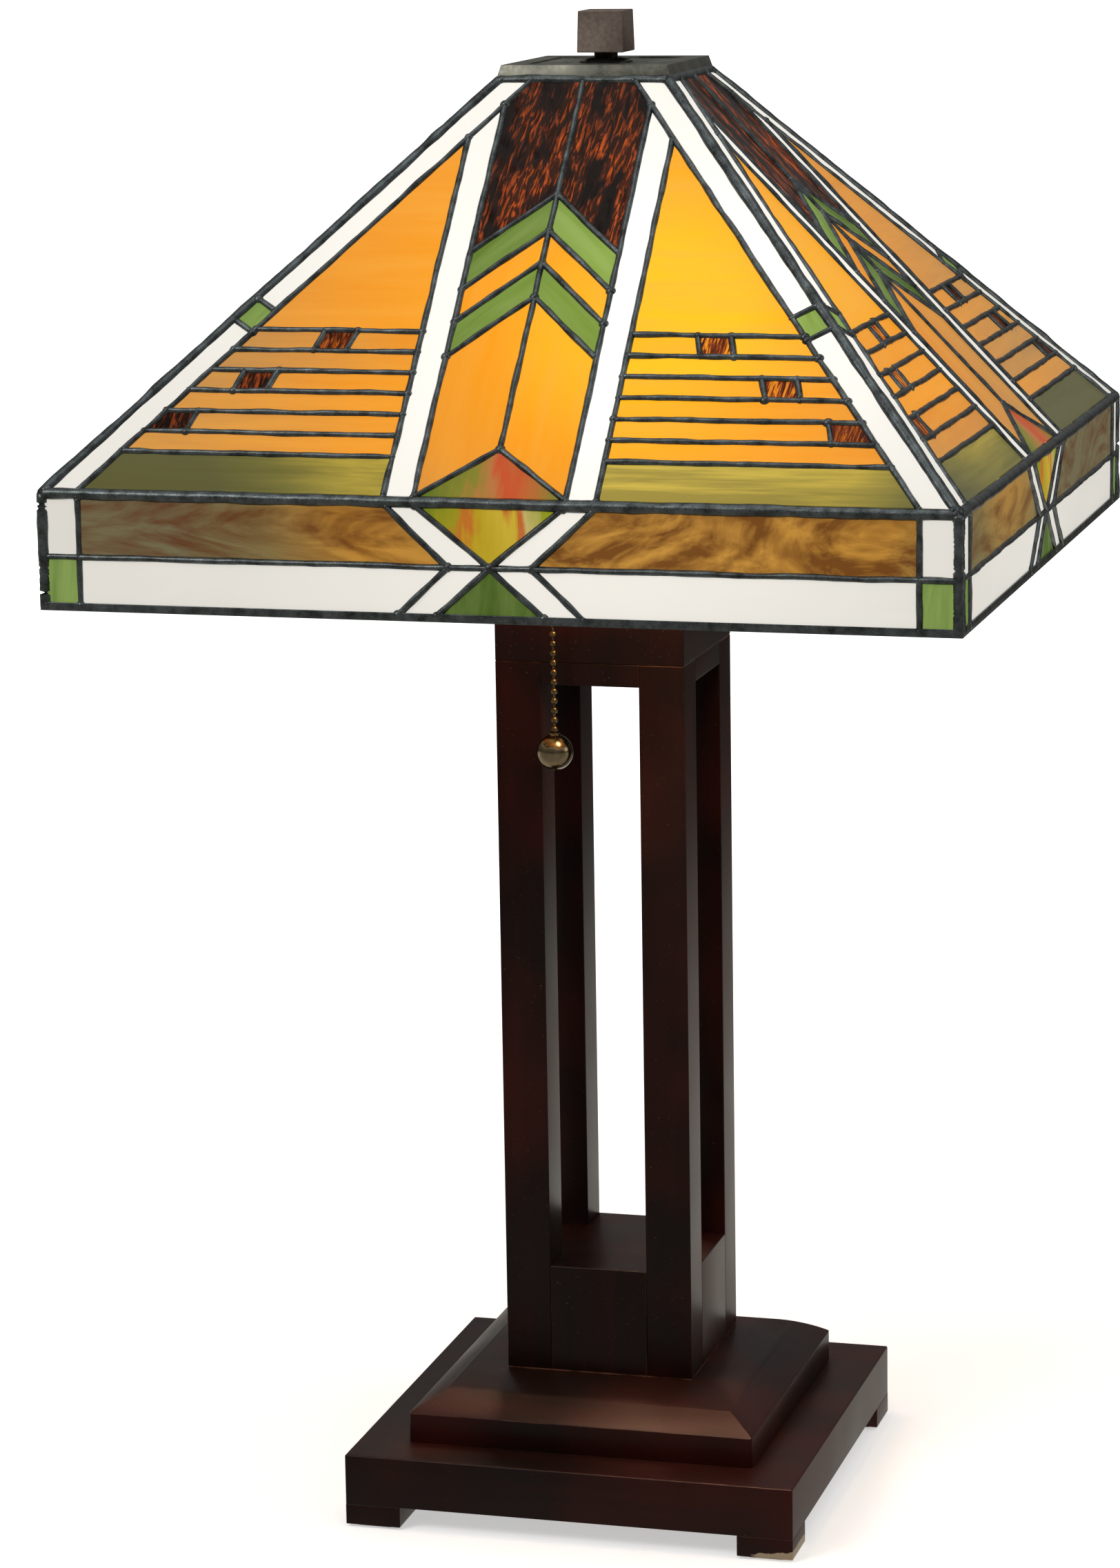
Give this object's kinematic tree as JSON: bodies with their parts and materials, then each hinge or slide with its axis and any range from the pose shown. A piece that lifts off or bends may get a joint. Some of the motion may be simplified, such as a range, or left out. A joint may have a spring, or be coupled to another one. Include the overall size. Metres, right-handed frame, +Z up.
{
  "type": "stained glass table lamp",
  "caption": "Table lamp with a square wooden pillar base and a four-sided leaded glass shade, lit by sockets on pull chains.",
  "frame": {"origin": "centre of the base on the surface it stands on", "axes": "+Z up, -Y to the front, +X to the right seen from the front"},
  "size_m": [0.3872, 0.3872, 0.6608],
  "materials": {
    "dark_wood": "dark mahogany stain under satin lacquer",
    "felt": "black felt",
    "board": "dark hardboard",
    "grommet": "black rubber",
    "steel": "zinc plated",
    "aged_brass": "antique brass",
    "liner": "fibre insulating sleeve",
    "phenolic": "moulded phenolic",
    "bulb_metal": "plain",
    "bulb_white": "frosted, lit",
    "solder": "dark patina on hand run solder",
    "pewter": "dull pewter",
    "bronze_paint": "matte bronze",
    "black_paint": "black",
    "opal_white": "opalescent art glass",
    "amber": "opalescent art glass",
    "leaf_green": "opalescent art glass",
    "root_beer": "opalescent art glass",
    "olive": "opalescent art glass",
    "sunset": "opalescent art glass",
    "swirl": "opalescent art glass"
  },
  "bodies": {
    "base": {"foot_front_left": "dark_wood", "foot_front_right": "dark_wood", "foot_rear_left": "dark_wood", "foot_rear_right": "dark_wood", "lower_plinth": "dark_wood", "upper_plinth": "dark_wood", "column_bottom_rail": "dark_wood", "post_front_left": "dark_wood", "post_front_right": "dark_wood", "post_rear_left": "dark_wood", "post_rear_right": "dark_wood", "column_top_rail": "dark_wood", "column_cap_block": "dark_wood", "felt_pads": "felt", "bottom_cover": "board", "cord_grommet": "grommet", "column_screws": "steel", "plate_screws": "steel", "top_plate": "steel", "riser_pipe": "aged_brass", "pipe_fittings": "aged_brass", "cluster_body": "aged_brass", "socket_cap_front": "aged_brass", "socket_cap_rear": "aged_brass", "socket_shell_front": "aged_brass", "socket_shell_rear": "aged_brass", "chain_guides": "aged_brass", "screw_shells": "aged_brass", "socket_liners": "liner", "socket_cores": "phenolic"},
    "shade": {"slope_came_front": "solder", "slope_came_right": "solder", "slope_came_rear": "solder", "slope_came_left": "solder", "skirt_came_front": "solder", "skirt_came_right": "solder", "skirt_came_rear": "solder", "skirt_came_left": "solder", "rim_channel": "solder", "shade_cap": "pewter", "white_glass": "opal_white", "amber_glass": "amber", "green_glass": "leaf_green", "brown_glass": "root_beer", "olive_glass": "olive", "sunset_glass": "sunset", "swirl_glass": "swirl"},
    "finial": {"finial_washer": "black_paint", "finial_insert": "aged_brass", "finial_block": "bronze_paint"},
    "bulb_front": {"bulb_base_front": "bulb_metal", "bulb_glass_front": "bulb_white"},
    "chain_lead_front": {"chain_stem_front": "aged_brass"},
    "chain_front": {"pull_chain_front": "aged_brass", "chain_ball_front": "aged_brass"},
    "bulb_rear": {"bulb_base_rear": "bulb_metal", "bulb_glass_rear": "bulb_white"},
    "chain_lead_rear": {"chain_stem_rear": "aged_brass"},
    "chain_rear": {"pull_chain_rear": "aged_brass", "chain_ball_rear": "aged_brass"}
  },
  "joints": [
    {"name": "shade_turn", "type": "hinge", "parent": "base", "child": "shade", "pos_m": [0, 0, 0.6375], "axis": [0, 0, 1], "continuous": true},
    {"name": "finial_turn", "type": "hinge", "parent": "base", "child": "finial", "pos_m": [0, 0, 0.6406], "axis": [0, 0, 1], "continuous": true},
    {"name": "bulb_front_turn", "type": "hinge", "parent": "base", "child": "bulb_front", "pos_m": [0, 0, 0.507], "axis": [0.4384, -0.8988, 0], "continuous": true},
    {"name": "chain_front_pull", "type": "slide", "parent": "base", "child": "chain_lead_front", "axis": [0, 0, -1], "range_m": [0, 0.008], "stiffness_N_per_m": 900},
    {"name": "chain_front_swing", "type": "hinge", "parent": "chain_lead_front", "child": "chain_front", "pos_m": [-0.01305, -0.05309, 0.4974], "axis": [0, 1, 0], "range_deg": [-12, 12]},
    {"name": "bulb_rear_turn", "type": "hinge", "parent": "base", "child": "bulb_rear", "pos_m": [0, 0, 0.507], "axis": [-0.4384, 0.8988, 0], "continuous": true},
    {"name": "chain_rear_pull", "type": "slide", "parent": "base", "child": "chain_lead_rear", "axis": [0, 0, -1], "range_m": [0, 0.008], "stiffness_N_per_m": 900},
    {"name": "chain_rear_swing", "type": "hinge", "parent": "chain_lead_rear", "child": "chain_rear", "pos_m": [0.01305, 0.05309, 0.4974], "axis": [0, 1, 0], "range_deg": [-12, 12]}
  ]
}
